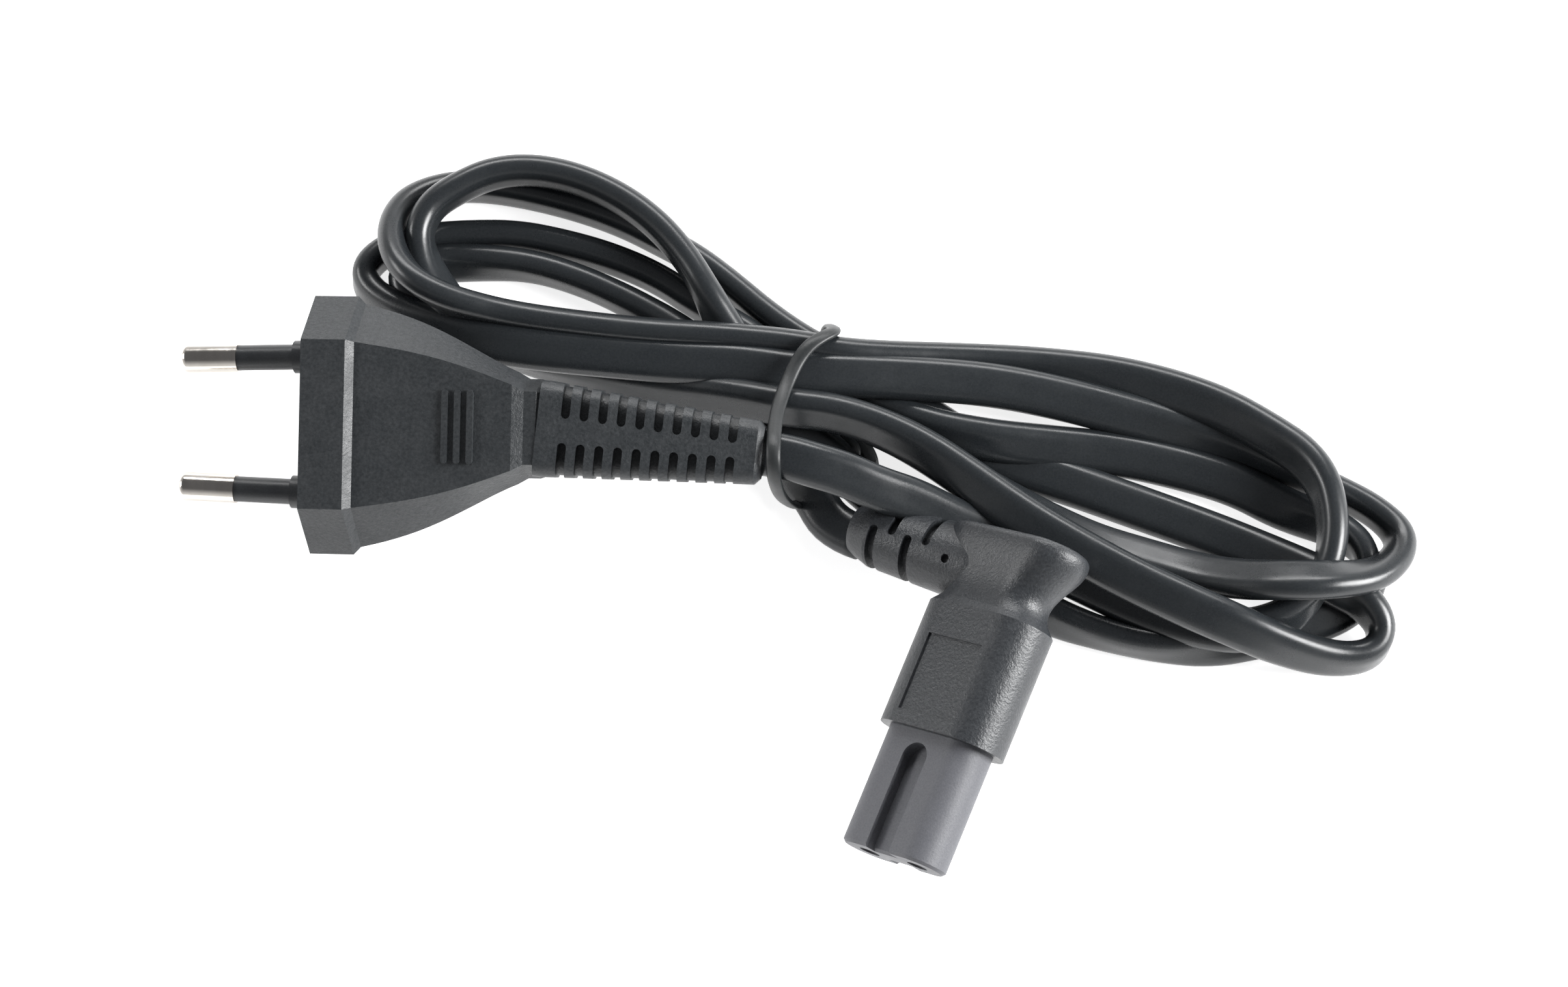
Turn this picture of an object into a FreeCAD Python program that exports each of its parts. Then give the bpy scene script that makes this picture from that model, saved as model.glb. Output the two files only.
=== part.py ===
import FreeCAD, Part
import math
import os
import Sketcher

# A complete figure-8 mains lead: a flat two-pin plug, a flat two-core cord folded into a tied hank,
# and a right-angled figure-8 connector. Lengths are in millimetres, angles in degrees.
# The row frame has +Z up from the table and +X along the plug, from its pins to its cord.

doc = FreeCAD.newDocument("figure_eight_lead")
Vector = FreeCAD.Vector
TINY = 1e-9
NEAR = 0.01

# Driving dimensions

SIZES = [
    # The plug lies on its front flange corner, its rear edge and its cord end raised
    ("plug_at_x", -43.2), ("plug_at_y", 23.6), ("plug_at_z", 10.0),
    ("plug_yaw", -4.2), ("plug_nose_down", 9.0), ("plug_roll", 18.2),
    # The flange is hexagonal: a flat top and bottom, and sides that meet at the parting line
    ("flange_half_width", 17.65), ("flange_half_flat", 11.5), ("flange_half_height", 6.85),
    ("flange_depth", 6.2), ("flange_chamfer", 1.0), ("flange_step", 1.05),
    # The tapered body: distance from the flange's face, half width, half flat and half height
    ("body_b_at", 12.8), ("body_b_half_width", 15.1), ("body_b_half_flat", 10.4), ("body_b_half_height", 5.5),
    ("body_c_at", 19.0), ("body_c_half_width", 12.6), ("body_c_half_flat", 9.1), ("body_c_half_height", 5.2),
    ("body_d_at", 24.6), ("body_d_half_width", 9.7), ("body_d_half_flat", 7.4), ("body_d_half_height", 4.95),
    ("body_end_at", 29.0), ("body_end_half_width", 7.6), ("body_end_half_flat", 5.8),
    ("body_end_half_height", 4.8),
    # The neck between the body and the strain relief
    ("shoulder_length", 1.5), ("neck_length", 1.7), ("neck_chamfer", 0.9),
    ("neck_half_width", 6.75), ("neck_half_flat", 4.95), ("neck_half_height", 4.15),
    # Three raised bars on the top face mark where the fingers grip
    ("bar_count", 3), ("bar_first_at", 19.9), ("bar_pitch", 1.75), ("bar_width", 0.85),
    ("bar_length", 10.0), ("bar_top", 5.62), ("bar_height", 1.4),
    # The plug's strain relief, bent a little sideways and down from the neck
    ("relief_length", 29.4), ("relief_sideways", -5.3), ("relief_droop", 6.0), ("relief_root", 1.2),
    ("relief_start_half_width", 6.55), ("relief_start_half_height", 4.2),
    ("relief_end_half_width", 4.3), ("relief_end_half_height", 3.35),
    ("relief_corner", 2.2), ("relief_end_edge", 0.8),
    ("slot_count", 10), ("slot_first_at", 2.5), ("slot_pitch", 2.53), ("slot_width", 1.25),
    ("slot_spine_start", 3.3), ("slot_spine_end", 1.9),
    ("relief_core_start_half_width", 6.3), ("relief_core_end_half_width", 4.1),
    ("relief_core_half_height", 2.35),
    # Two round pins in a hard carrier, drawn together slightly towards their tips
    ("pin_spacing", 18.6), ("pin_lean", 1.66), ("pin_length", 19.0), ("pin_radius", 2.0),
    ("pin_dome", 1.3), ("shank_radius", 1.4), ("sleeve_length", 10.6), ("sleeve_radius", 1.75),
    ("collar_length", 2.5), ("collar_radius", 2.25), ("sleeve_seat", 2.0), ("seat_clearance", 0.05),
    ("carrier_half_width", 13.0), ("carrier_half_height", 4.2), ("carrier_corner", 3.4),
    ("carrier_depth", 10.4), ("crimp_radius", 1.5), ("crimp_length", 5.0),
    ("strand_radius", 0.65), ("strand_seat", 4.0), ("strand_bare", 1.0),
    # The cord: a flat oval sheath over two insulated cores
    ("cord_width", 6.2), ("cord_thickness", 3.6), ("core_radius", 1.1), ("core_spacing", 2.6),
    ("core_gap", 0.5), ("core_straight", 3.0), ("core_swing", 3.7),
    # The connector lies tilted on the cord, its nose towards the viewer
    ("connector_at_x", 35.85), ("connector_at_y", -37.35), ("connector_at_z", 10.3),
    ("connector_yaw", -27.4), ("connector_pitch", -36.7), ("connector_roll", 8.0),
    # The nose is a hard insert of figure-8 section
    ("nose_length", 17.0), ("nose_half_width", 8.25), ("nose_half_height", 3.95),
    ("groove_length", 15.3), ("groove_width", 4.2), ("groove_depth", 1.9),
    ("insert_root_length", 6.0), ("insert_root_half_width", 7.4), ("insert_root_half_height", 3.2),
    ("nose_edge", 0.4),
    ("contact_spacing", 8.6), ("contact_mouth_radius", 1.45), ("contact_mouth_depth", 2.0),
    ("contact_radius", 1.85), ("contact_bore_radius", 1.25), ("contact_length", 12.0),
    ("tail_radius", 0.9), ("tail_end_at", 21.5), ("tail_crimp_length", 4.0), ("tail_crimp_radius", 1.3),
    ("tail_strand_seat", 3.0),
    # The soft jacket over it
    ("jacket_half_width", 9.75), ("jacket_half_height", 5.3),
    ("jacket_end_at", 34.7),
    ("panel_at", 18.9), ("panel_length", 11.0), ("panel_half_width", 4.75), ("panel_depth", 0.35),
    # The scooped head: distance from the nose's face, half width and half height
    ("head_shoulder_at", 35.7), ("head_shoulder_half_width", 8.75), ("head_shoulder_half_height", 4.75),
    ("head_waist_at", 37.9), ("head_waist_half_width", 7.75), ("head_waist_half_height", 4.4),
    ("head_flare_at", 41.0), ("head_flare_half_width", 9.0), ("head_flare_half_height", 4.75),
    ("head_lip_at", 43.9), ("head_lip_half_width", 10.75), ("head_lip_half_height", 5.4),
    ("head_back_at", 46.4), ("head_back_half_width", 10.5), ("head_back_half_height", 5.25),
    ("head_back_round", 1.2),
    # Its round strain relief leaves sideways and is bent up a little by the table
    ("side_relief_at", 41.4), ("side_relief_bend", 17.0), ("side_relief_pivot", 6.0),
    ("side_relief_length", 18.6), ("side_relief_root_radius", 5.25), ("side_relief_waist_radius", 4.55),
    ("side_relief_end_radius", 3.7), ("side_relief_end_length", 3.2), ("side_relief_root", 4.0),
    ("cslot_count", 2), ("cslot_first_at", 6.2), ("cslot_pitch", 5.4), ("cslot_stagger", 2.7),
    ("cslot_width", 1.3), ("cslot_inner", 0.35), ("side_core_radius", 3.5),
    ("gate_at", 2.6), ("gate_radius", 0.6), ("gate_depth", 1.0), ("gate_off", 1.2),
    # The cord's leads out of the two strain reliefs: straight runs and small turns
    ("plug_lead_run", 3.6), ("plug_lead_turn", 2.5), ("connector_lead_run", 2.6),
    ("connector_lead_rise", 6.6), ("connector_lead_turn", 4.0),
    # The folded hank: its left loops are lower than its right ones, and both slope down outwards
    ("left_inner_height", 11.0), ("left_outer_height", 7.4), ("right_inner_height", 17.6),
    ("right_outer_height", 11.5), ("hank_inner_at", 23.6), ("hank_outer_reach", 84.0), ("room", 0.6),
    # The tied waist: a prism across the hank, with the tie's loop round it and the plug's lead
    ("waist_at_x", 20.6), ("waist_at_y", 17.25), ("waist_yaw", -16.0), ("waist_length", 16.0),
    ("waist_back", 20.2), ("waist_bottom", 1.0), ("waist_back_top", 11.4), ("waist_front_top", 11.6),
    ("waist_front", -2.6), ("waist_corner", 1.6),
    ("tie_top", 19.6), ("tie_top_at", 1.2), ("tie_front", -5.2), ("tie_front_top", 16.6),
    ("tie_width", 1.8), ("tie_thickness", 0.6), ("tie_clearance", 0.15), ("tie_corner", 2.2),
]

sheet = doc.addObject("Spreadsheet::Sheet", "Sizes")
for row, (alias, size) in enumerate(SIZES, start=1):
    sheet.set("A%d" % row, alias.replace("_", " "))
    sheet.set("B%d" % row, str(size))
    sheet.setAlias("B%d" % row, alias)
doc.recompute()


def value(alias):
    return float(sheet.get(alias))


def number(text):
    return float(sheet.evalExpression(text))


# Sketches, each point tied to the sheet


def new_sketch(body, name, role, offset):
    sketch = body.newObject("Sketcher::SketchObject", name)
    plane = [p for p in body.Origin.OriginFeatures if p.Role == role][0]
    sketch.AttachmentSupport = [(plane, "")]
    sketch.MapMode = "FlatFace"
    sketch.setExpression("AttachmentOffset.Base.z", offset)
    return sketch


def tie_point(sketch, geo, pos, x_text, y_text):
    for kind, axis, text in (("DistanceX", -2, x_text), ("DistanceY", -1, y_text)):
        size = number(text)
        if abs(size) < TINY:
            sketch.addConstraint(Sketcher.Constraint("PointOnObject", geo, pos, axis))
        elif size > 0:
            index = sketch.addConstraint(Sketcher.Constraint(kind, -1, 1, geo, pos, size))
            sketch.setExpression("Constraints[%d]" % index, text)
        else:
            index = sketch.addConstraint(Sketcher.Constraint(kind, geo, pos, -1, 1, -size))
            sketch.setExpression("Constraints[%d]" % index, "-(%s)" % text)


def tie_radius(sketch, geo, text):
    index = sketch.addConstraint(Sketcher.Constraint("Radius", geo, number(text)))
    sketch.setExpression("Constraints[%d]" % index, text)


def polygon(body, name, role, offset, corners):
    sketch = new_sketch(body, name, role, offset)
    points = [Vector(number(x), number(y), 0) for x, y in corners]
    count = len(points)
    lines = [sketch.addGeometry(Part.LineSegment(points[i], points[(i + 1) % count])) for i in range(count)]
    for i in range(count):
        sketch.addConstraint(Sketcher.Constraint("Coincident", lines[i], 2, lines[(i + 1) % count], 1))
    for line, (x, y) in zip(lines, corners):
        tie_point(sketch, line, 1, x, y)
    return sketch


def rounded(body, name, role, offset, half_width, half_height, corner):
    """a rectangle with round corners, centred on the axis"""
    sketch = new_sketch(body, name, role, offset)
    radius = number(corner)
    across = number(half_width) - radius
    up = number(half_height) - radius
    arcs = []
    for x, y, start in ((1, 1, 0), (-1, 1, 90), (-1, -1, 180), (1, -1, 270)):
        circle = Part.Circle(Vector(x * across, y * up, 0), Vector(0, 0, 1), radius)
        arc = Part.ArcOfCircle(circle, math.radians(start), math.radians(start + 90))
        arcs.append((sketch.addGeometry(arc), x, y))
    sides = []
    for i in range(4):
        start = sketch.Geometry[arcs[i][0]].EndPoint
        end = sketch.Geometry[arcs[(i + 1) % 4][0]].StartPoint
        sides.append(sketch.addGeometry(Part.LineSegment(start, end)))
    for i in range(4):
        sketch.addConstraint(Sketcher.Constraint("Tangent", arcs[i][0], 2, sides[i], 1))
        sketch.addConstraint(Sketcher.Constraint("Tangent", sides[i], 2, arcs[(i + 1) % 4][0], 1))
    signs = {1: "", -1: "-"}
    for geo, x, y in arcs:
        x_text = "%s(%s - %s)" % (signs[x], half_width, corner)
        y_text = "%s(%s - %s)" % (signs[y], half_height, corner)
        tie_point(sketch, geo, 3, x_text, y_text)
        tie_radius(sketch, geo, corner)
    return sketch


def stadium(body, name, role, offset, half_width, half_height):
    """two half rounds joined by flats"""
    sketch = new_sketch(body, name, role, offset)
    radius = number(half_height)
    across = number(half_width) - radius
    quarter = math.pi / 2
    right_circle = Part.Circle(Vector(across, 0, 0), Vector(0, 0, 1), radius)
    left_circle = Part.Circle(Vector(-across, 0, 0), Vector(0, 0, 1), radius)
    right = Part.ArcOfCircle(right_circle, -quarter, quarter)
    left = Part.ArcOfCircle(left_circle, quarter, 3 * quarter)
    top = Part.LineSegment(Vector(across, radius, 0), Vector(-across, radius, 0))
    bottom = Part.LineSegment(Vector(-across, -radius, 0), Vector(across, -radius, 0))
    loop = [sketch.addGeometry(item) for item in (right, top, left, bottom)]
    for i in range(4):
        sketch.addConstraint(Sketcher.Constraint("Tangent", loop[i], 2, loop[(i + 1) % 4], 1))
    tie_point(sketch, loop[0], 3, "%s - %s" % (half_width, half_height), "0")
    tie_point(sketch, loop[2], 3, "-(%s - %s)" % (half_width, half_height), "0")
    tie_radius(sketch, loop[0], half_height)
    tie_radius(sketch, loop[2], half_height)
    return sketch


def hexagon(body, name, offset, half_width, half_flat, half_height):
    """a section of the plug: flat top and bottom, sides that meet at the parting line"""
    corners = [
        (half_width, "0"), (half_flat, half_height), ("-(%s)" % half_flat, half_height),
        ("-(%s)" % half_width, "0"), ("-(%s)" % half_flat, "-(%s)" % half_height),
        (half_flat, "-(%s)" % half_height),
    ]
    return polygon(body, name, "YZ_Plane", offset, corners)


# Features


def new_body(name):
    body = doc.addObject("PartDesign::Body", name)
    body.Label = name
    return body


def loft(body, name, sections, ruled=False):
    feature = body.newObject("PartDesign::AdditiveLoft", name)
    feature.Profile = sections[0]
    feature.Sections = sections[1:]
    feature.Ruled = ruled
    return feature


def pad(body, name, sketch, length, reverse=False):
    feature = body.newObject("PartDesign::Pad", name)
    feature.Profile = sketch
    feature.Reversed = reverse
    feature.setExpression("Length", length)
    return feature


def pocket(body, name, sketch, length, reverse=False):
    feature = body.newObject("PartDesign::Pocket", name)
    feature.Profile = sketch
    feature.Reversed = reverse
    feature.setExpression("Length", length)
    return feature


def soften(body, name, base, kind, size, chosen):
    """a fillet or a chamfer on the chosen edges"""
    doc.recompute()
    edges = ["Edge%d" % (i + 1) for i, edge in enumerate(base.Shape.Edges) if chosen(edge)]
    feature = body.newObject("PartDesign::" + kind, name)
    feature.Base = (base, edges)
    feature.setExpression("Radius" if kind == "Fillet" else "Size", size)
    return feature


def cylinder(name, radius, height, start=None):
    """a cylinder along its own Z, from start"""
    item = doc.addObject("Part::Cylinder", name)
    item.setExpression("Radius", radius)
    item.setExpression("Height", height)
    if start is not None:
        item.setExpression("Placement.Base.z", start)
    return item


def fuse(name, items):
    item = doc.addObject("Part::MultiFuse", name)
    item.Shapes = items
    return item


def cut(name, base, tool):
    item = doc.addObject("Part::Cut", name)
    item.Base = base
    item.Tool = tool
    return item


def solid(name, shape):
    item = doc.addObject("Part::Feature", name)
    item.Shape = shape
    return item


def pose(x, y, z, yaw, pitch, roll):
    return FreeCAD.Placement(Vector(x, y, z), FreeCAD.Rotation(yaw, pitch, roll))


def at(item, place):
    item.Placement = place
    return item


# Paths and tubes


def rounded_path(points, report):
    """straight runs joined by tangent arcs, each arc as large as its two runs allow"""
    edges = []
    start = points[0]
    radii = []
    for before, corner, after in zip(points, points[1:], points[2:]):
        run_in = corner - before
        run_out = after - corner
        turn = run_in.getAngle(run_out)
        cut_back = 0.45 * min(run_in.Length, run_out.Length)
        radii.append(cut_back / math.tan(turn / 2))
        run_in.normalize()
        run_out.normalize()
        arc_start = corner - run_in * cut_back
        arc_end = corner + run_out * cut_back
        to_centre = run_out - run_in
        to_centre.normalize()
        centre = corner + to_centre * (radii[-1] / math.cos(turn / 2))
        arc_middle = centre - to_centre * radii[-1]
        edges.append(Part.LineSegment(start, arc_start).toShape())
        edges.append(Part.Arc(arc_start, arc_middle, arc_end).toShape())
        start = arc_end
    edges.append(Part.LineSegment(start, points[-1]).toShape())
    print(report, "bend radii", [round(r, 1) for r in radii])
    return Part.Wire(edges)


def mitred_tube(points, radius):
    """a round tube of straight runs with mitred corners"""
    circle = Part.Circle(points[0], points[1] - points[0], radius)
    mitre = 1
    return Part.makePolygon(points).makePipeShell([Part.Wire([circle.toShape()])], True, False, mitre)


def flat_section(centre, along, across):
    """the cord's flat oval, its wide way along across"""
    radius = value("cord_thickness") / 2
    side = Vector(across)
    side.normalize()
    up = Vector(along).cross(side)
    up.normalize()
    reach = side * (value("cord_width") / 2 - radius)
    rise = up * radius
    tip = side * (value("cord_width") / 2)
    edges = [
        Part.LineSegment(centre - reach + rise, centre + reach + rise).toShape(),
        Part.Arc(centre + reach + rise, centre + tip, centre + reach - rise).toShape(),
        Part.LineSegment(centre + reach - rise, centre - reach - rise).toShape(),
        Part.Arc(centre - reach - rise, centre - tip, centre - reach + rise).toShape(),
    ]
    return Part.Wire(edges)


def flat_tube(path, thin_way):
    """the cord along a path: its thin way starts as thin_way and then follows the bends"""
    start = path.Edges[0]
    origin = start.valueAt(start.FirstParameter)
    along = start.tangentAt(start.FirstParameter)
    section = flat_section(origin, along, thin_way.cross(along))
    sweep = Part.BRepOffsetAPI.MakePipeShell(path)
    sweep.setFrenetMode(False)
    sweep.add(section, False, False)
    sweep.build()
    sweep.makeSolid()
    tube = sweep.shape()
    expected = Part.Face(section).Area * path.Length
    print("tube volume over section times length", round(tube.Volume / expected, 4))
    return tube


def heading(yaw, pitch):
    """a unit vector from its bearing and its slope, in degrees"""
    flat = math.cos(math.radians(pitch))
    return Vector(flat * math.cos(math.radians(yaw)), flat * math.sin(math.radians(yaw)),
                  math.sin(math.radians(pitch)))


def slot_cutters(name, count, first, pitch, width, inner, reach, sides):
    """slots across a strain relief: each is open at the side and round at its inner end"""
    tools = []
    for side, shift in sides:
        for i in range(count):
            at_x = "%s + %s + %s * %d" % (first, shift, pitch, i)
            inner_y = inner(i)
            box = doc.addObject("Part::Box", name + "_box")
            box.setExpression("Length", width)
            box.setExpression("Width", reach)
            box.setExpression("Height", "2 * %s" % reach)
            box.setExpression("Placement.Base.x", "%s - %s / 2" % (at_x, width))
            low_y = "%s + %s / 2" % (inner_y, width)
            if side < 0:
                low_y = "-(%s) - %s" % (low_y, reach)
            box.setExpression("Placement.Base.y", low_y)
            box.setExpression("Placement.Base.z", "-%s" % reach)
            end = doc.addObject("Part::Cylinder", name + "_end")
            end.setExpression("Radius", "%s / 2" % width)
            end.setExpression("Height", "2 * %s" % reach)
            end.setExpression("Placement.Base.x", at_x)
            end_y = "%s + %s / 2" % (inner_y, width)
            end.setExpression("Placement.Base.y", end_y if side > 0 else "-(%s)" % end_y)
            end.setExpression("Placement.Base.z", "-%s" % reach)
            tools += [box, end]
    return fuse(name, tools)


NODES = []


def node(item, name, place=None):
    """makes an object a sub-part of the lead"""
    item.Label = name
    if place is not None:
        item.Placement = place
    NODES.append(item)
    return item


# The plug, in its own frame: +X from the flange's face towards the cord, +Z out of the top face

PLUG = pose(
    value("plug_at_x"), value("plug_at_y"), value("plug_at_z"),
    value("plug_yaw"), -value("plug_nose_down"), value("plug_roll"),
)


def plug_shell():
    body = new_body("plug_shell")
    s = "Sizes."
    flange = (s + "flange_half_width", s + "flange_half_flat", s + "flange_half_height")
    step = "%s - Sizes.flange_step"
    stepped = (step % flange[0], "%s - Sizes.flange_step / 4" % flange[1], step % flange[2])
    back = s + "flange_depth"
    body_start = "Sizes.flange_depth + Sizes.flange_chamfer"
    front = hexagon(body, "flange_front", "0", *flange)
    rim = hexagon(body, "flange_rim", back, *flange)
    first = hexagon(body, "body_start", body_start, *stepped)
    middle = []
    for part in ("body_b", "body_c", "body_d", "body_end"):
        sizes = [s + part + end for end in ("_half_width", "_half_flat", "_half_height")]
        middle.append(hexagon(body, part, s + part + "_at", *sizes))
    neck = [s + "neck" + end for end in ("_half_width", "_half_flat", "_half_height")]
    neck_start = "Sizes.body_end_at + Sizes.shoulder_length"
    shoulder = hexagon(body, "neck_start", neck_start, *neck)
    neck_edge = hexagon(body, "neck_edge", neck_start + " + Sizes.neck_length", *neck)
    lower = ["%s - Sizes.neck_chamfer / 3" % neck[0], "%s - Sizes.neck_chamfer / 3" % neck[1]]
    lower.append("%s - Sizes.neck_chamfer" % neck[2])
    neck_end = hexagon(body, "neck_end", neck_start + " + Sizes.neck_length + Sizes.neck_chamfer", *lower)
    pad(body, "flange", front, back)
    loft(body, "flange_back", [rim, first], ruled=True)
    loft(body, "taper", [first] + middle)
    loft(body, "shoulder", [middle[-1], shoulder], ruled=True)
    loft(body, "neck", [shoulder, neck_edge], ruled=True)
    loft(body, "neck_back", [neck_edge, neck_end], ruled=True)
    return body


NECK_END = "(Sizes.body_end_at + Sizes.shoulder_length + Sizes.neck_length + Sizes.neck_chamfer)"
RELIEF = pose(number(NECK_END), 0, 0, value("relief_sideways"), value("relief_droop"), 0)


def grip_bars():
    """raised bars with round ends across the top face"""
    bars = []
    for i in range(int(value("bar_count"))):
        at_x = "Sizes.bar_first_at + Sizes.bar_pitch * %d" % i
        box = doc.addObject("Part::Box", "bar")
        box.setExpression("Length", "Sizes.bar_width")
        box.setExpression("Width", "Sizes.bar_length - Sizes.bar_width")
        box.setExpression("Height", "Sizes.bar_height")
        box.setExpression("Placement.Base.x", at_x + " - Sizes.bar_width / 2")
        box.setExpression("Placement.Base.y", "(Sizes.bar_width - Sizes.bar_length) / 2")
        box.setExpression("Placement.Base.z", "Sizes.bar_top - Sizes.bar_height")
        bars.append(box)
        for side in ("-", ""):
            end = cylinder("bar_end", "Sizes.bar_width / 2", "Sizes.bar_height",
                           "Sizes.bar_top - Sizes.bar_height")
            end.setExpression("Placement.Base.x", at_x)
            end.setExpression("Placement.Base.y", "%s(Sizes.bar_length - Sizes.bar_width) / 2" % side)
            bars.append(end)
    return fuse("grip_bars", bars)


def plug_relief():
    """the ribbed strain relief, in its own frame from the neck"""
    body = new_body("relief_shell")
    start = ("Sizes.relief_start_half_width", "Sizes.relief_start_half_height", "Sizes.relief_corner")
    end = ("Sizes.relief_end_half_width", "Sizes.relief_end_half_height", "Sizes.relief_corner")
    root = rounded(body, "relief_root", "YZ_Plane", "-Sizes.relief_root", *start)
    first = rounded(body, "relief_start", "YZ_Plane", "0", *start)
    last = rounded(body, "relief_last", "YZ_Plane", "Sizes.relief_length", *end)
    loft(body, "relief_stub", [root, first], ruled=True)
    taper = loft(body, "relief_taper", [first, last], ruled=True)
    far = value("relief_length") - NEAR
    soften(body, "relief_edge", taper, "Chamfer", "Sizes.relief_end_edge",
           lambda edge: edge.BoundBox.XMin > far)
    core = new_body("relief_core")
    core_first = stadium(
        core, "core_start", "YZ_Plane", "-Sizes.relief_root", "Sizes.relief_core_start_half_width",
        "Sizes.relief_core_half_height")
    core_last = stadium(
        core, "core_last", "YZ_Plane", "Sizes.relief_length", "Sizes.relief_core_end_half_width",
        "Sizes.relief_core_half_height")
    loft(core, "core_taper", [core_first, core_last], ruled=True)

    def inner(i):
        share = "(Sizes.slot_spine_end - Sizes.slot_spine_start) * %d / (Sizes.slot_count - 1)" % i
        return "(Sizes.slot_spine_start + %s) / 2" % share

    slots = slot_cutters(
        "relief_slots", int(value("slot_count")), "Sizes.slot_first_at", "Sizes.slot_pitch",
        "Sizes.slot_width", inner, "2 * Sizes.relief_start_half_width", ((1, "0"), (-1, "0")))
    return at(cut("plug_relief", body, cut("relief_slots_open", slots, core)), RELIEF)


def pin_pose(side):
    """a pin's own frame: its origin on the flange's face, +Z towards the tip"""
    lean = math.radians(value("pin_lean"))
    outward = Vector(-math.cos(lean), -side * math.sin(lean), 0)
    place = Vector(0, side * value("pin_spacing") / 2, 0)
    return FreeCAD.Placement(place, FreeCAD.Rotation(Vector(0, 0, 1), outward))


CRIMP_START = "-Sizes.carrier_depth - Sizes.crimp_length"


def plug_pin(side, name):
    tip = "(Sizes.pin_length - Sizes.pin_dome)"
    parts = [
        cylinder(name + "_crimp", "Sizes.crimp_radius", "Sizes.crimp_length", CRIMP_START),
        cylinder(name + "_shank", "Sizes.shank_radius", "Sizes.carrier_depth + Sizes.sleeve_length",
                 "-Sizes.carrier_depth"),
        cylinder(name + "_tip", "Sizes.pin_radius", tip + " - Sizes.sleeve_length", "Sizes.sleeve_length"),
    ]
    dome = doc.addObject("Part::Ellipsoid", name + "_dome")
    dome.setExpression("Radius1", "Sizes.pin_dome")
    dome.setExpression("Radius2", "Sizes.pin_radius")
    dome.setExpression("Placement.Base.z", tip)
    hole = cylinder(name + "_hole", "Sizes.strand_radius", "Sizes.strand_seat", CRIMP_START)
    return node(cut(name, fuse(name + "_rod", parts + [dome]), hole), name, PLUG * pin_pose(side))


def plug_sleeve(side, name):
    parts = [
        cylinder(name + "_tube", "Sizes.sleeve_radius", "Sizes.sleeve_seat + Sizes.sleeve_length",
                 "-Sizes.sleeve_seat"),
        cylinder(name + "_collar", "Sizes.collar_radius", "Sizes.collar_length", "2 * Sizes.seat_clearance"),
    ]
    bore = cylinder(name + "_bore", "Sizes.shank_radius", "Sizes.sleeve_seat + Sizes.sleeve_length",
                    "-Sizes.sleeve_seat")
    return node(cut(name, fuse(name + "_outer", parts), bore), name, PLUG * pin_pose(side))


def strands(name, place, frame, start, length):
    """bare copper between a core and its crimp, with a copy that makes room for it"""
    along = FreeCAD.Placement(Vector(0, 0, number(start)), FreeCAD.Rotation())
    wire = cylinder(name, "Sizes.strand_radius", length)
    node(wire, name, frame * place * along)
    return at(cylinder(name + "_space", "Sizes.strand_radius", length), place * along)


def build_plug():
    block = new_body("carrier_block")
    outline = rounded(block, "carrier_outline", "YZ_Plane", "0", "Sizes.carrier_half_width",
                      "Sizes.carrier_half_height", "Sizes.carrier_corner")
    pad(block, "carrier_depth_pad", outline, "Sizes.carrier_depth")
    holes = []
    spaces = [block]
    core_end_x = number(NECK_END) - value("core_gap")
    for side, wire in ((1, "live"), (-1, "neutral")):
        place = pin_pose(side)
        plug_pin(side, "plug_pin_" + wire)
        plug_sleeve(side, "plug_sleeve_" + wire)
        holes.append(at(cylinder("shank_hole", "Sizes.shank_radius", "Sizes.carrier_depth * 2"), place
                     * FreeCAD.Placement(Vector(0, 0, -1.5 * value("carrier_depth")), FreeCAD.Rotation())))
        seat = cylinder("sleeve_hole", "Sizes.sleeve_radius + Sizes.seat_clearance", "2 * Sizes.sleeve_seat")
        holes.append(at(seat, place
                     * FreeCAD.Placement(Vector(0, 0, -value("sleeve_seat")), FreeCAD.Rotation())))
        crimp = cylinder("crimp_space", "Sizes.crimp_radius", "Sizes.crimp_length + Sizes.carrier_depth / 2")
        spaces.append(at(crimp, place
                      * FreeCAD.Placement(Vector(0, 0, number(CRIMP_START)), FreeCAD.Rotation())))
        bare_start = CRIMP_START + " - Sizes.strand_bare"
        bare = "Sizes.strand_bare + Sizes.strand_seat"
        spaces.append(strands("plug_strands_" + wire, place, PLUG, bare_start, bare))
        start = place.multVec(Vector(0, 0, number(CRIMP_START) - value("strand_bare")))
        back = place.Rotation.multVec(Vector(0, 0, -1))
        exit_y = side * value("core_spacing") / 2
        straight = value("core_straight")
        route = [start, start + back * straight, Vector(core_end_x - straight, exit_y, 0),
                 Vector(core_end_x, exit_y, 0)]
        core = mitred_tube(route, value("core_radius"))
        spaces.append(solid("plug_core_space_" + wire, core))
        node(solid("plug_core_" + wire, core), "plug_core_" + wire, PLUG)
    node(cut("plug_pin_carrier", block, fuse("carrier_holes", holes)), "plug_pin_carrier", PLUG)
    along = RELIEF.Rotation.multVec(Vector(1, 0, 0))
    across = RELIEF.Rotation.multVec(Vector(0, 1, 0))
    sheath = Part.Face(flat_section(RELIEF.Base, along, across)).extrude(along * value("relief_length"))
    spaces.append(solid("plug_cord_end_space", sheath))
    node(solid("plug_cord_end", sheath), "plug_cord_end", PLUG)
    outside = fuse("plug_outside", [plug_shell(), plug_relief(), grip_bars()])
    node(cut("plug_body", outside, fuse("plug_spaces", spaces)), "plug_body", PLUG)


# The connector, in its own frame: -Y out of the nose, -X towards its strain relief, +Z out of the panel

CONNECTOR = pose(
    value("connector_at_x"), value("connector_at_y"), value("connector_at_z"),
    value("connector_yaw"), value("connector_pitch"), value("connector_roll"),
)
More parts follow.
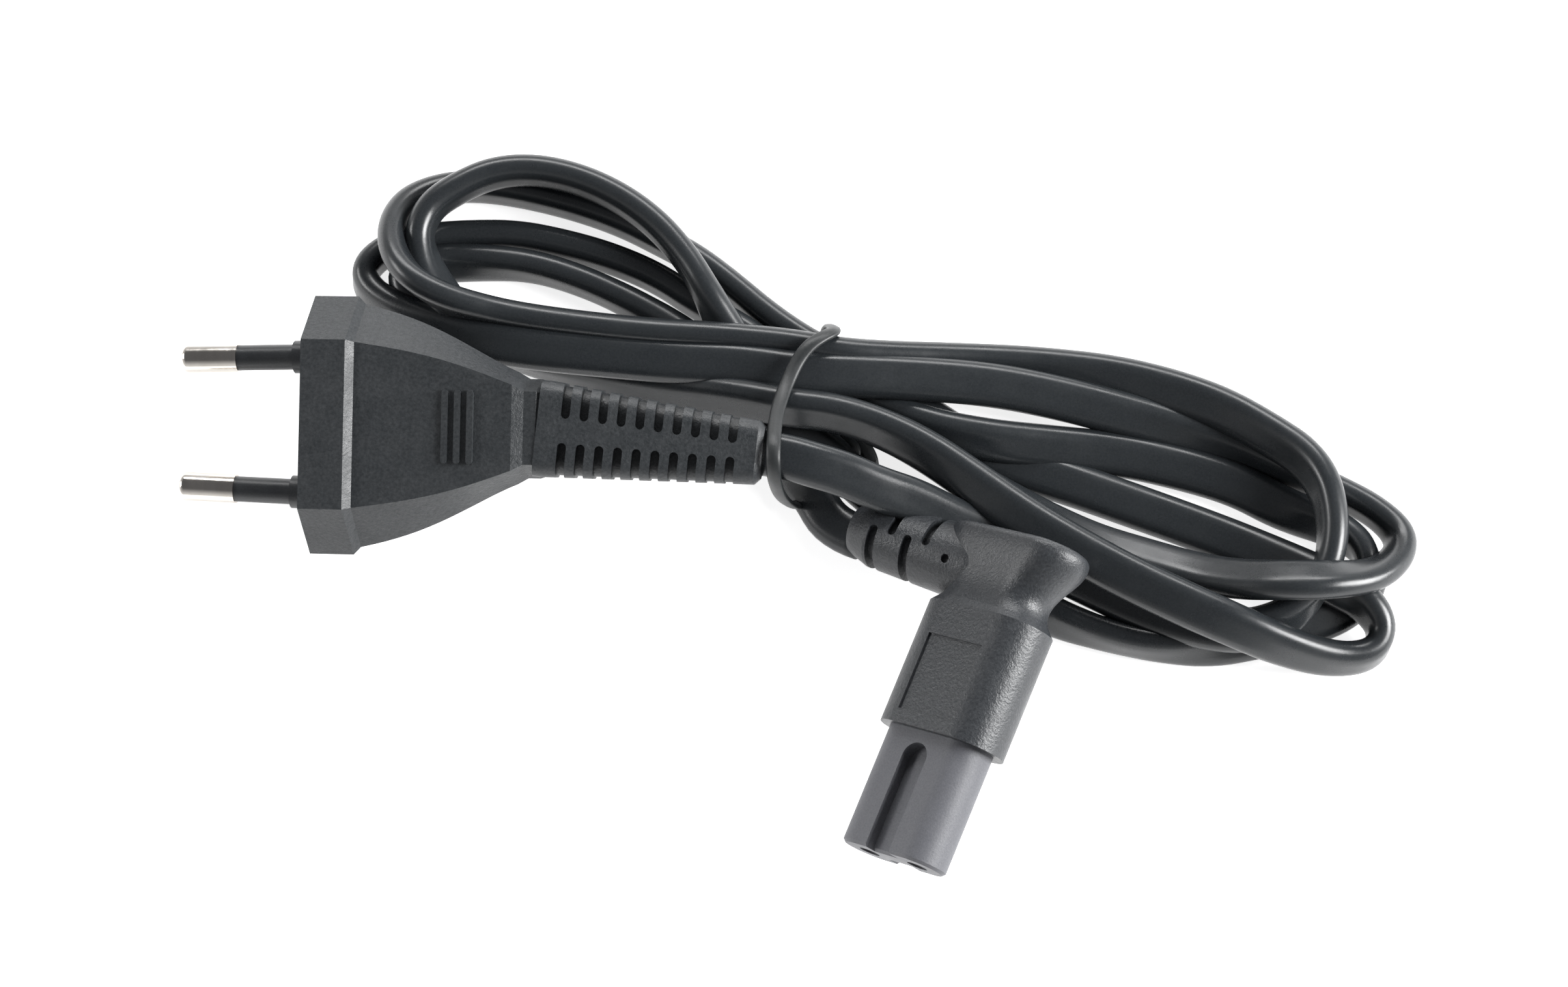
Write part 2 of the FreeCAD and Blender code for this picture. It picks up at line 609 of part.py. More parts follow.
# The side relief's own frame: +X out of the head, along the cord
SIDE_RELIEF = FreeCAD.Placement(
    Vector(-value("side_relief_pivot"), value("side_relief_at"), 0),
    FreeCAD.Rotation(Vector(0, 0, 1), 180) * FreeCAD.Rotation(Vector(0, 1, 0), -value("side_relief_bend")),
)


def figure_eight_insert():
    body = new_body("insert_shell")
    half = ("Sizes.nose_half_width", "Sizes.nose_half_height")
    nose = stadium(body, "nose_outline", "XZ_Plane", "-Sizes.nose_length", *half)
    pad(body, "nose", nose, "Sizes.nose_length")
    root = stadium(body, "root_outline", "XZ_Plane", "-Sizes.nose_length - Sizes.insert_root_length",
                   "Sizes.insert_root_half_width", "Sizes.insert_root_half_height")
    pad(body, "insert_root", root, "Sizes.insert_root_length")
    for side, reverse in (("", False), ("-", True)):
        name = "groove_low" if reverse else "groove_top"
        sketch = new_sketch(body, name + "_outline", "XY_Plane", "%sSizes.nose_half_height" % side)
        half_width = number("Sizes.groove_width / 2")
        straight = number("Sizes.groove_length - Sizes.groove_width / 2")
        arc = Part.ArcOfCircle(Part.Circle(Vector(0, straight, 0), Vector(0, 0, 1), half_width), 0, math.pi)
        end = sketch.addGeometry(arc)
        corners = [Vector(-half_width, straight, 0), Vector(-half_width, -half_width, 0),
                   Vector(half_width, -half_width, 0), Vector(half_width, straight, 0)]
        lines = [sketch.addGeometry(Part.LineSegment(corners[i], corners[i + 1])) for i in range(3)]
        sketch.addConstraint(Sketcher.Constraint("Tangent", end, 2, lines[0], 1))
        sketch.addConstraint(Sketcher.Constraint("Coincident", lines[0], 2, lines[1], 1))
        sketch.addConstraint(Sketcher.Constraint("Coincident", lines[1], 2, lines[2], 1))
        sketch.addConstraint(Sketcher.Constraint("Tangent", lines[2], 2, end, 1))
        sketch.addConstraint(Sketcher.Constraint("Horizontal", lines[1]))
        tie_point(sketch, end, 3, "0", "Sizes.groove_length - Sizes.groove_width / 2")
        tie_radius(sketch, end, "Sizes.groove_width / 2")
        tie_point(sketch, lines[1], 1, "-Sizes.groove_width / 2", "-Sizes.groove_width / 2")
        groove = pocket(body, name, sketch, "Sizes.groove_depth", reverse)
    soften(body, "nose_chamfer", groove, "Chamfer", "Sizes.nose_edge",
           lambda edge: edge.BoundBox.YMax < NEAR and edge.Length > value("nose_half_height"))
    return body


def contact_pose(side):
    """a contact's own frame: its origin on the nose's face, +Z into the connector"""
    return FreeCAD.Placement(Vector(side * value("contact_spacing") / 2, 0, 0), FreeCAD.Rotation(0, 0, -90))


def along_contact(item, side, start):
    return at(item, contact_pose(side) * FreeCAD.Placement(Vector(0, 0, number(start)), FreeCAD.Rotation()))


def head_shell():
    body = new_body("jacket_shell")
    half = ("Sizes.jacket_half_width", "Sizes.jacket_half_height")
    front = stadium(body, "jacket_front", "XZ_Plane", "-Sizes.nose_length", *half)
    back = stadium(body, "jacket_back", "XZ_Plane", "-Sizes.jacket_end_at", *half)
    pad(body, "jacket", front, "Sizes.jacket_end_at - Sizes.nose_length", reverse=True)
    sections = []
    for part in ("head_shoulder", "head_waist", "head_flare", "head_lip", "head_back"):
        sections.append(stadium(body, part, "XZ_Plane", "-Sizes.%s_at" % part, "Sizes.%s_half_width" % part,
                                "Sizes.%s_half_height" % part))
    loft(body, "shoulder_step", [back, sections[0]], ruled=True)
    head = loft(body, "head", sections)
    far = value("head_back_at") - NEAR
    soften(body, "head_round", head, "Fillet", "Sizes.head_back_round", lambda edge: edge.BoundBox.YMin > far)
    panel = polygon(body, "panel_outline", "XY_Plane", "Sizes.jacket_half_height", [
        ("-Sizes.panel_half_width", "Sizes.panel_at"), ("Sizes.panel_half_width", "Sizes.panel_at"),
        ("Sizes.panel_half_width", "Sizes.panel_at + Sizes.panel_length"),
        ("-Sizes.panel_half_width", "Sizes.panel_at + Sizes.panel_length")])
    pocket(body, "label_panel", panel, "Sizes.panel_depth")
    return body


def side_relief():
    """the round strain relief with staggered slots, in its own frame"""
    body = new_body("side_relief_shell")
    profile = polygon(body, "side_relief_profile", "XZ_Plane", "0", [
        ("-Sizes.side_relief_root", "0"), ("-Sizes.side_relief_root", "Sizes.side_relief_root_radius"),
        ("0", "Sizes.side_relief_root_radius"),
        ("Sizes.side_relief_length - Sizes.side_relief_end_length", "Sizes.side_relief_waist_radius"),
        ("Sizes.side_relief_length - Sizes.relief_end_edge", "Sizes.side_relief_end_radius"),
        ("Sizes.side_relief_length", "Sizes.side_relief_end_radius - Sizes.relief_end_edge / 2"),
        ("Sizes.side_relief_length", "0")])
    turn = body.newObject("PartDesign::Revolution", "side_relief_turn")
    turn.Profile = profile
    turn.ReferenceAxis = (profile, ["H_Axis"])
    turn.Angle = 360
    core = doc.addObject("Part::Cylinder", "side_core")
    core.setExpression("Radius", "Sizes.side_core_radius")
    core.setExpression("Height", "Sizes.side_relief_length + Sizes.side_relief_root")
    core.Placement = FreeCAD.Placement(Vector(-value("side_relief_root"), 0, 0),
                                       FreeCAD.Rotation(Vector(0, 1, 0), 90))
    slots = slot_cutters(
        "side_slots", int(value("cslot_count")), "Sizes.cslot_first_at", "Sizes.cslot_pitch",
        "Sizes.cslot_width", lambda i: "-Sizes.cslot_inner", "3 * Sizes.side_relief_root_radius / 2",
        ((1, "Sizes.cslot_stagger"), (-1, "0")))
    gate = cylinder("gate_hole", "Sizes.gate_radius", "2 * Sizes.gate_depth")
    gate.Placement.Base = Vector(value("gate_at"), value("gate_off"),
                                 value("side_relief_root_radius") - value("gate_depth"))
    tools = fuse("side_relief_cuts", [cut("side_slots_open", slots, core), gate])
    return at(cut("side_relief", body, tools), SIDE_RELIEF)


def build_connector():
    shell = figure_eight_insert()
    holes = []
    spaces = [shell]
    for side, wire in ((-1, "live"), (1, "neutral")):
        mouth = cylinder("mouth", "Sizes.contact_mouth_radius", "2 * Sizes.contact_mouth_depth")
        holes.append(along_contact(mouth, side, "-Sizes.contact_mouth_depth"))
        chamber = cylinder("chamber", "Sizes.contact_radius", "Sizes.contact_length")
        holes.append(along_contact(chamber, side, "Sizes.contact_mouth_depth"))
        tail_hole = cylinder("tail_hole", "Sizes.tail_radius", "2 * Sizes.tail_end_at")
        holes.append(along_contact(tail_hole, side, "Sizes.contact_mouth_depth"))
        name = "connector_contact_" + wire
        crimp_at = "Sizes.nose_length + Sizes.insert_root_length"
        start = "Sizes.contact_mouth_depth"
        parts = [
            cylinder(name + "_socket", "Sizes.contact_radius", "Sizes.contact_length", start),
            cylinder(name + "_tail", "Sizes.tail_radius",
                     crimp_at + " - Sizes.contact_mouth_depth - Sizes.contact_length",
                     start + " + Sizes.contact_length"),
            cylinder(name + "_crimp", "Sizes.tail_crimp_radius", "Sizes.tail_crimp_length", crimp_at),
        ]
        crimp_end = crimp_at + " + Sizes.tail_crimp_length"
        bores = [
            cylinder(name + "_bore", "Sizes.contact_bore_radius",
                     "Sizes.contact_length - Sizes.contact_mouth_depth", start),
            cylinder(name + "_strand_hole", "Sizes.strand_radius", "Sizes.tail_strand_seat",
                     crimp_end + " - Sizes.tail_strand_seat"),
        ]
        contact = cut(name, fuse(name + "_rod", parts), fuse(name + "_bores", bores))
        node(contact, name, CONNECTOR * contact_pose(side))
        crimp = cylinder("tail_space", "Sizes.tail_crimp_radius", "Sizes.tail_crimp_length")
        spaces.append(along_contact(crimp, side, crimp_at))
        bare_start = crimp_end + " - Sizes.tail_strand_seat"
        bare = "Sizes.tail_strand_seat + Sizes.strand_bare"
        spaces.append(strands("connector_strands_" + wire, contact_pose(side), CONNECTOR, bare_start, bare))
        begin = Vector(side * value("contact_spacing") / 2, number(crimp_end) + value("strand_bare"), 0)
        exit_y = value("side_relief_at") + side * value("core_spacing") / 2
        exit_x = value("core_gap") - value("side_relief_pivot")
        route = [begin, Vector(begin.x, exit_y, 0), Vector(exit_x, exit_y, 0)]
        if side < 0:
            turn = Vector(begin.x + value("core_swing"), exit_y, 0)
            route[1:2] = [begin + Vector(0, value("core_straight"), 0), turn]
        core = mitred_tube(route, value("core_radius"))
        spaces.append(solid("connector_core_space_" + wire, core))
        node(solid("connector_core_" + wire, core), "connector_core_" + wire, CONNECTOR)
    node(cut("connector_insert", shell, fuse("insert_holes", holes)), "connector_insert", CONNECTOR)
    along = SIDE_RELIEF.Rotation.multVec(Vector(1, 0, 0))
    across = SIDE_RELIEF.Rotation.multVec(Vector(0, 1, 0))
    section = Part.Face(flat_section(SIDE_RELIEF.Base, along, across))
    sheath = section.extrude(along * value("side_relief_length"))
    spaces.append(solid("connector_cord_end_space", sheath))
    node(solid("connector_cord_end", sheath), "connector_cord_end", CONNECTOR)
    outside = fuse("connector_outside", [head_shell(), side_relief()])
    node(cut("connector_body", outside, fuse("connector_spaces", spaces)), "connector_body", CONNECTOR)


# The cord outside the reliefs, in the row frame


def relief_end(frame, relief, length):
    """where the cord leaves a relief, which way it goes and which way is its thin way"""
    place = frame * relief
    return (place.multVec(Vector(length, 0, 0)), place.Rotation.multVec(Vector(1, 0, 0)),
            place.Rotation.multVec(Vector(0, 0, 1)))


def lead_path(start, along, headings, run, report):
    """a first run straight out of the relief, then one run along each heading"""
    points = [start, start + along * run]
    for yaw, pitch in headings:
        points.append(points[-1] + heading(yaw, pitch) * run)
    return rounded_path(points, report)


def path_end(path):
    last = path.Edges[-1]
    return last.valueAt(last.LastParameter), last.tangentAt(last.LastParameter)


def plug_lead():
    start, along, thin = relief_end(PLUG, RELIEF, value("relief_length"))
    turn = value("plug_lead_turn")
    bearing = math.degrees(math.atan2(along.y, along.x))
    headings = [(bearing - turn, -turn), (bearing - 2 * turn, -2.5 * turn), (bearing - 3.5 * turn, -4 * turn)]
    path = lead_path(start, along, headings, value("plug_lead_run"), "plug lead")
    node(solid("cord_plug_lead", flat_tube(path, thin)), "cord_plug_lead")
    return lead_room("plug_lead_room", path, thin)


def connector_lead():
    start, along, thin = relief_end(CONNECTOR, SIDE_RELIEF, value("side_relief_length"))
    turn = value("connector_lead_turn")
    rise = value("connector_lead_rise")
    bearing = math.degrees(math.atan2(along.y, along.x))
    slope = math.degrees(math.asin(along.z))
    headings = [(bearing - turn, slope + rise), (bearing - 2 * turn, slope + 2 * rise),
                (bearing - 3 * turn, slope + 3 * rise)]
    path = lead_path(start, along, headings, value("connector_lead_run"), "connector lead")
    node(solid("cord_connector_lead", flat_tube(path, thin)), "cord_connector_lead")
    return lead_room("connector_lead_room", path, thin if thin.z > 0 else -thin)


LEFT_LOOPS = [
    (22.6, 25.8), (7.6, 27.2), (-4.4, 29.8), (-14.4, 33.8), (-25.4, 36.8), (-34.4, 39.8), (-38.9, 45.8),
    (-35.9, 53.2), (-31.4, 57.8), (-25.4, 64.2), (-15.4, 66.2), (-4.4, 61.8), (6.6, 53.8), (14.6, 46.2),
    (22.6, 39.8),
]
RIGHT_LOOPS = [
    (22.6, 39.2), (35.6, 38.8), (48.6, 37), (68.6, 34), (80.6, 29.9), (90.6, 22.9), (98.6, 18.9),
    (106.6, 7.9), (104.4, 3), (103.4, -4), (98.4, -10.1), (89.4, -8.1), (74.4, -9.1), (65.4, -8.1),
    (58.4, -5), (47.4, 2), (38.4, 7.9), (28.6, 13.2), (22.6, 17.2),
]


def loops(name, outline, inner_height, outer_height, outward):
    """one side of the hank: the outer shape of its loops, its top sloping down away from the waist"""
    curve = Part.BSplineCurve()
    curve.interpolate(Points=[Vector(x, y, 0) for x, y in outline], PeriodicFlag=True)
    face = Part.Face(Part.Wire([curve.toShape()]))
    plan = solid(name + "_plan", face.extrude(Vector(0, 0, 2 * value("right_inner_height"))))
    inner_x = value("hank_inner_at")
    reach = outward * value("hank_outer_reach")
    far = 3 * value("hank_outer_reach")
    inner = Vector(inner_x, -far, value(inner_height))
    fall = Vector(reach, 0, value(outer_height) - value(inner_height))
    corners = [inner - fall, inner + fall * 2, inner + fall * 2, inner - fall]
    corners[2] = corners[1] - Vector(0, 0, corners[1].z)
    corners[3] = corners[0] - Vector(0, 0, corners[0].z)
    wedge = Part.Face(Part.makePolygon(corners + [corners[0]])).extrude(Vector(0, 2 * far, 0))
    side = doc.addObject("Part::Common", name)
    side.Base = plan
    side.Tool = solid(name + "_slope", wedge)
    return side


WAIST = FreeCAD.Placement(
    Vector(value("waist_at_x"), value("waist_at_y"), 0),
    FreeCAD.Rotation(Vector(0, 0, 1), value("waist_yaw")))


def waist_outline(body, name, offset, grow, top):
    """the tied section: high enough at its front for the plug's lead where top says so"""
    bottom = "Sizes.waist_bottom - %s" % grow
    back = "Sizes.waist_back + %s" % grow
    corners = [(back, bottom), (back, "Sizes.waist_back_top + %s" % grow)]
    if top:
        corners.append(("Sizes.tie_top_at + %s" % grow, "Sizes.tie_top + %s" % grow))
        corners.append(("Sizes.tie_front - %s" % grow, "Sizes.tie_front_top + %s" % grow))
    else:
        corners.append(("Sizes.waist_front - %s" % grow, "Sizes.waist_front_top + %s" % grow))
    corners.append(("-%s" % grow, bottom))
    return polygon(body, name, "YZ_Plane", offset, corners)


def lengthwise(edge):
    box = edge.BoundBox
    return box.XMax - box.XMin > 1 and box.YMax - box.YMin < 0.1 and box.ZMax - box.ZMin < 0.1


def tied_waist(name, length, grow, top, corner):
    body = new_body(name)
    outline = waist_outline(body, name + "_outline", "-(%s) / 2" % length, grow, top)
    block = pad(body, name + "_length", outline, length)
    soften(body, name + "_round", block, "Fillet", corner, lengthwise)
    return body


def lead_room(name, path, thin):
    """room for a lead, open above its end, that stops at the face it ends on"""
    end, along = path_end(path)
    length = path.Length
    channel = mitred_tube([v.Point for v in path.OrderedVertexes], value("cord_width") / 2 + value("room"))
    across = thin.cross(along)
    across.normalize()
    up = along.cross(across)
    half_width = value("cord_width") / 2 + value("room") / 2
    half_height = value("cord_thickness") / 2 + value("room") / 2
    low = end - across * half_width - up * half_height
    corners = [low, low + across * 2 * half_width, low + across * 2 * half_width - along * length,
               low - along * length]
    above = Part.Face(Part.makePolygon(corners + [corners[0]])).extrude(up * 6 * half_height)
    return [solid(name, channel), solid(name + "_above", above)]


def connector_room():
    """room for the connector's head and relief where they lie on the hank"""
    gap = "Sizes.room"
    box = doc.addObject("Part::Box", "head_room")
    box.setExpression("Length", "2 * (Sizes.head_lip_half_width + %s)" % gap)
    box.setExpression("Width", "Sizes.head_back_at + %s" % gap)
    box.setExpression("Height", "6 * Sizes.head_lip_half_height")
    corner = Vector(-number("Sizes.head_lip_half_width + Sizes.room"), 0,
                    -number("Sizes.head_lip_half_height + Sizes.room"))
    box.Placement = CONNECTOR * FreeCAD.Placement(corner, FreeCAD.Rotation())
    barrel = cylinder("relief_room", "Sizes.side_relief_root_radius + %s" % gap,
                      "Sizes.side_relief_root + Sizes.side_relief_length + %s" % gap)
    place = CONNECTOR * SIDE_RELIEF
    root = Vector(-value("side_relief_root"), 0, 0)
    barrel.Placement = place * FreeCAD.Placement(root, FreeCAD.Rotation(Vector(0, 1, 0), 90))
    above = doc.addObject("Part::Box", "relief_room_above")
    above.setExpression("Length", "Sizes.side_relief_length")
    above.setExpression("Width", "2 * (Sizes.side_relief_root_radius + %s)" % gap)
    above.setExpression("Height", "4 * Sizes.side_relief_root_radius")
    low = Vector(0, -number("Sizes.side_relief_root_radius + Sizes.room"), 0)
    flip = FreeCAD.Rotation(Vector(1, 0, 0), 180)
    if place.Rotation.multVec(Vector(0, 0, 1)).z > 0:
        above.Placement = place * FreeCAD.Placement(low, FreeCAD.Rotation())
    else:
        above.Placement = place * FreeCAD.Placement(-low, flip)
    return [box, barrel, above]


def build_cord():
    rooms = plug_lead() + connector_lead() + connector_room()
    left = loops("left_loops", LEFT_LOOPS, "left_inner_height", "left_outer_height", -1)
    right = loops("right_loops", RIGHT_LOOPS, "right_inner_height", "right_outer_height", 1)
    waist = at(tied_waist("waist", "Sizes.waist_length", "0", False, "Sizes.waist_corner"), WAIST)
    core = at(tied_waist("waist_core", "2 * Sizes.waist_length", "0", False, "Sizes.waist_corner"), WAIST)
    slab = doc.addObject("Part::Box", "tie_slab")
    slab.setExpression("Length", "Sizes.tie_width + 2 * Sizes.tie_clearance")
    slab.setExpression("Width", "6 * Sizes.waist_back")
    slab.setExpression("Height", "4 * Sizes.tie_top")
    corner = Vector(-number("Sizes.tie_width / 2 + Sizes.tie_clearance"), -3 * value("waist_back"),
                    -value("tie_top"))
    slab.Placement = WAIST * FreeCAD.Placement(corner, FreeCAD.Rotation())
    slot = cut("tie_slot", slab, core)
    whole = fuse("hank_whole", [left, right, waist])
    node(cut("cord_hank", whole, fuse("hank_cuts", rooms + [slot])), "cord_hank")
    outer = at(tied_waist("tie_outer", "Sizes.tie_width", "(Sizes.tie_clearance + Sizes.tie_thickness)", True,
                          "Sizes.tie_corner"), WAIST)
    inner = at(tied_waist("tie_inner", "2 * Sizes.tie_width", "Sizes.tie_clearance", True,
                          "(Sizes.tie_corner - Sizes.tie_thickness)"), WAIST)
    node(cut("cord_tie", outer, inner), "cord_tie")


build_plug()
build_connector()
build_cord()
doc.recompute()

bad = [o.Name for o in doc.Objects if "Invalid" in o.State or "Error" in o.State]
if bad:
    raise RuntimeError("features failed: %s" % bad)
os.makedirs("parts", exist_ok=True)
for item in NODES:
    shape = item.Shape
    if shape.isNull() or not shape.isValid() or not shape.Solids:
        raise RuntimeError("%s is not a valid solid" % item.Label)
    shape.exportStep("parts/%s.step" % item.Label)
    box = shape.BoundBox
    print("%-28s solids %d volume %9.2f  x %7.2f %7.2f  y %7.2f %7.2f  z %7.2f %7.2f" % (
        item.Label, len(shape.Solids), shape.Volume,
        box.XMin, box.XMax, box.YMin, box.YMax, box.ZMin, box.ZMax))
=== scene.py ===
import math

import bpy
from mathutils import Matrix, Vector


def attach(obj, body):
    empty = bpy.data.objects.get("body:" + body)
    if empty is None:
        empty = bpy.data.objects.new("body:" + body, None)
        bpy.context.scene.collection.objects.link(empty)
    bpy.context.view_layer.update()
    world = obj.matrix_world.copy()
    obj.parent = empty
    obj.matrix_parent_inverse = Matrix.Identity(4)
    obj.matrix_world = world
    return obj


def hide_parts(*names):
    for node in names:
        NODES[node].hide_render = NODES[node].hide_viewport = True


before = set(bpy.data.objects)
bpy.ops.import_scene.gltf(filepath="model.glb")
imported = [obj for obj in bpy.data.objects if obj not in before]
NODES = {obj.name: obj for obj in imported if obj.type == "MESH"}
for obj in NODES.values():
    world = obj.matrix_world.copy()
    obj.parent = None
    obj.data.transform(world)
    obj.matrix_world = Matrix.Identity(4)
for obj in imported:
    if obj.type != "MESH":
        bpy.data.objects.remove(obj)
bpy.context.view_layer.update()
MM = 0.001
UP = Vector((0, 0, 1))

# The cord's route from the plug to the connector, in millimetres: x, y and z of its centre, and how far
# its wide way leans from lying flat, in degrees. Each group is one strand of the hank.
CORD_WIDTH = 6.2
CORD_THICKNESS = 3.6
ROUTE = [
    # out of the plug, down over the hank and into the right turn
    (18.5, 17.5, 16, 18), (21.5, 17, 16.1, 20), (25, 16, 15.8, 20), (29.5, 15, 14.6, 20),
    (34, 13.5, 12.8, 20), (39, 12.5, 10.8, 20), (44, 10.5, 8.8, 20), (50, 8.5, 7, 20),
    (56.5, 5.5, 5.8, 20), (63.5, 2, 5.4, 20), (70.5, -1.5, 5.4, 20), (77.5, -4, 6, 20),
    (84, -5, 6.6, 28), (89, -3.5, 7.2, 50), (92.5, -0.5, 7.6, 78), (95, 3, 8.4, 95),
    # outermost strand at the back, right
    (96, 7, 9.2, 100), (96, 11, 9.4, 105), (95, 15.5, 9.4, 115), (92.5, 19.5, 8.8, 125),
    (88, 23, 7.8, 135), (82, 27, 6.8, 145), (75, 30, 5.8, 155), (67, 32.5, 4.6, 150), (57, 34, 4, 135),
    (46.5, 34.5, 4.8, 118), (36.5, 34, 7.2, 112), (29, 34, 9, 105),
    # middle left loop, its near strand and then its far one
    (22, 35.5, 9.2, 95), (12, 36.5, 9.4, 90), (3, 37, 9.4, 90), (-6, 38, 9.4, 90), (-13, 39, 9.4, 90),
    (-18.5, 40, 9.6, 90), (-24, 41, 11.4, 88), (-28.5, 43, 12.4, 78), (-31.5, 46, 11.6, 74),
    (-33, 50, 9.8, 76),
    (-33, 54.5, 7.4, 82), (-31, 58.5, 5.2, 88), (-26.5, 61, 3.6, 90), (-21.5, 61.5, 3.1, 90),
    (-15, 60.5, 3.1, 90), (-7.5, 58.5, 3.1, 90), (-1, 56, 3.1, 90), (4.5, 53, 3.1, 90),
    (9, 50.5, 3.1, 90), (14, 46.5, 3.1, 90), (19, 42, 3.1, 90),
    # under the tie and along the table to the right
    (24.5, 38, 3.1, 90), (30, 35, 3.1, 88), (35.5, 31.5, 3.1, 80), (41.5, 27, 2.7, 50),
    (47, 23, 2.3, 18), (54, 20, 2.1, 14), (61.5, 17.5, 2.1, 14), (69.5, 14.5, 2.1, 14),
    (77.5, 11.5, 2.1, 14), (84.5, 8.5, 2.6, 18), (91, 5, 4.4, 24), (96, 2, 6.4, 32),
    (100.5, -0.5, 6.2, 60),
    # back over the hank from the near right turn
    (103, -4, 4.4, 86), (101.5, -7.5, 4, 95), (96, -8.5, 5, 105), (89, -7.5, 8.2, 125),
    (82.5, -5.5, 11, 142), (75.5, -2.5, 11.6, 152), (68.5, 1, 11.4, 156), (61.5, 5, 11.2, 155),
    (54.5, 9.5, 10.8, 150), (47.5, 15, 10, 145), (41, 20, 9.4, 135), (34.5, 23.5, 9.4, 122),
    (28, 25.5, 9.9, 115),
    # smallest left loop
    (22, 26, 10.2, 118), (14.5, 28, 8.6, 122), (6.5, 30, 5.4, 120), (-1.5, 32, 3.8, 110),
    (-9, 34, 3.2, 95), (-15, 35.5, 3.6, 88), (-20, 37.5, 5, 76), (-23.5, 40, 6.6, 55),
    (-25.5, 43, 7.2, 45),
    (-27.5, 46, 7.4, 52), (-29, 49.5, 8, 72), (-29.5, 52.5, 8.6, 86), (-28, 56, 9, 90),
    (-24.5, 58.5, 9.4, 90), (-19.5, 61, 9.4, 90), (-13.5, 61.5, 9.4, 90), (-7, 60, 9.4, 90),
    (-1, 57, 9.4, 90), (4, 53, 9.4, 90), (8, 48, 9.4, 90), (10.5, 43.5, 9.4, 86), (13, 39, 7.6, 60),
    # slantwise under the hank to its near side
    (15.5, 34.5, 6.3, 30), (18.5, 30, 5.7, 10), (22.5, 25.5, 4.4, 10), (27, 22, 3, 14),
    (32, 17.5, 2.4, 18), (37.5, 12.5, 2.2, 12), (44.5, 7, 2.2, 10), (51.5, 2, 2.5, 25),
    (58.5, -2, 3, 60), (65.5, -4.5, 3.2, 85), (72.5, -6, 3.2, 84), (79.5, -6, 2.9, 52),
    (86, -4.5, 2.6, 28), (92, -3, 2.4, 20), (98, -0.5, 2.4, 18), (101, 2.5, 2.6, 30),
    # inner strand at the back, right
    (102, 5.5, 3.2, 70), (100, 9, 3.3, 100), (96, 11.5, 2.9, 120), (90, 14, 2.4, 150),
    (84, 17.5, 2.3, 163), (76, 20, 2.3, 163), (67, 22, 2.5, 157), (58, 22.5, 3.6, 152),
    (49, 23, 5.2, 140), (41, 25, 5.2, 112), (33.5, 29, 4, 94), (27, 33, 3.2, 90),
    # outer left loop, its far strand and then its wide near one
    (21.5, 35.5, 3.2, 90), (15.5, 40, 3.2, 90), (9.5, 43.5, 3.1, 90), (4, 47.5, 3.1, 90),
    (-2.5, 50.5, 3.1, 90), (-9, 52.5, 3.1, 90), (-16, 54, 3.1, 90), (-23, 54, 3.1, 90),
    (-29.5, 53.5, 3.1, 90), (-34.5, 52, 3.1, 90),
    (-37.5, 49, 3.1, 90), (-37, 46, 3.1, 80), (-33.5, 42.5, 4.2, 62), (-28, 39.5, 6, 42),
    (-20.5, 36.5, 8.2, 26), (-12, 35, 8.8, 20), (-3, 34, 9, 18), (6.5, 33, 9.2, 18),
    (15.5, 32.5, 9.6, 18),
    # on to the outermost right turn
    (23.5, 31, 10, 18), (31.5, 31, 9.2, 18), (40.5, 31, 8, 18), (50, 30.5, 7, 18), (59, 29, 6, 20),
    (68, 27, 4.8, 26), (76, 25, 3.6, 38), (84, 22.5, 3.1, 58), (90.5, 19.5, 3.1, 74),
    (97, 16.5, 3.2, 84), (102.5, 13.5, 3.6, 90),
    (106, 9.5, 4.4, 80), (105, 5.5, 6.4, 62), (101, 2, 9.6, 45), (94.5, 0.5, 13, 30), (89, 0.5, 13, 25),
    (83, 1.5, 9.8, 20), (77, 3.5, 6.8, 20), (70, 6, 5.6, 20), (63, 8.5, 5, 25), (56, 12.5, 4.8, 45),
    (49.5, 17, 4.8, 72), (43.5, 21, 4.4, 88), (36.5, 25, 3.8, 92), (28.5, 29, 3.3, 92),
    # innermost left loop, on the table
    (21, 32, 2.1, 172), (12, 34.5, 2.3, 155), (3, 36, 3.1, 90), (-6, 38, 3.1, 90),
    (-13.5, 39.5, 3.1, 93), (-19.5, 41, 3.1, 105), (-24.5, 42, 2.8, 125), (-29, 43.5, 3, 110),
    (-32, 45, 3.3, 92), (-32, 48.5, 3.2, 75), (-27, 50, 2.9, 55), (-20.5, 50, 3.1, 72),
    (-14, 49.5, 3.2, 88), (-7.5, 47.5, 3.1, 90), (-1, 44.5, 3.1, 90), (5, 40.5, 3.6, 70),
    (9.5, 36, 5.4, 30), (13.5, 31, 5.2, 30), (17, 26, 3.6, 60),
    # into the connector
    (21, 20.5, 3.1, 65), (25, 16.5, 2.7, 35), (28, 11, 2.5, 15), (32.2, 9.15, 4, 7),
]

# The twist tie: one turn round the hank, and its two ends, which are twisted together underneath
TIE_WIDTH = 2.0
TIE_THICKNESS = 0.8
TIE_CROWN = 0.12
TIE_SMOOTHNESS = 5
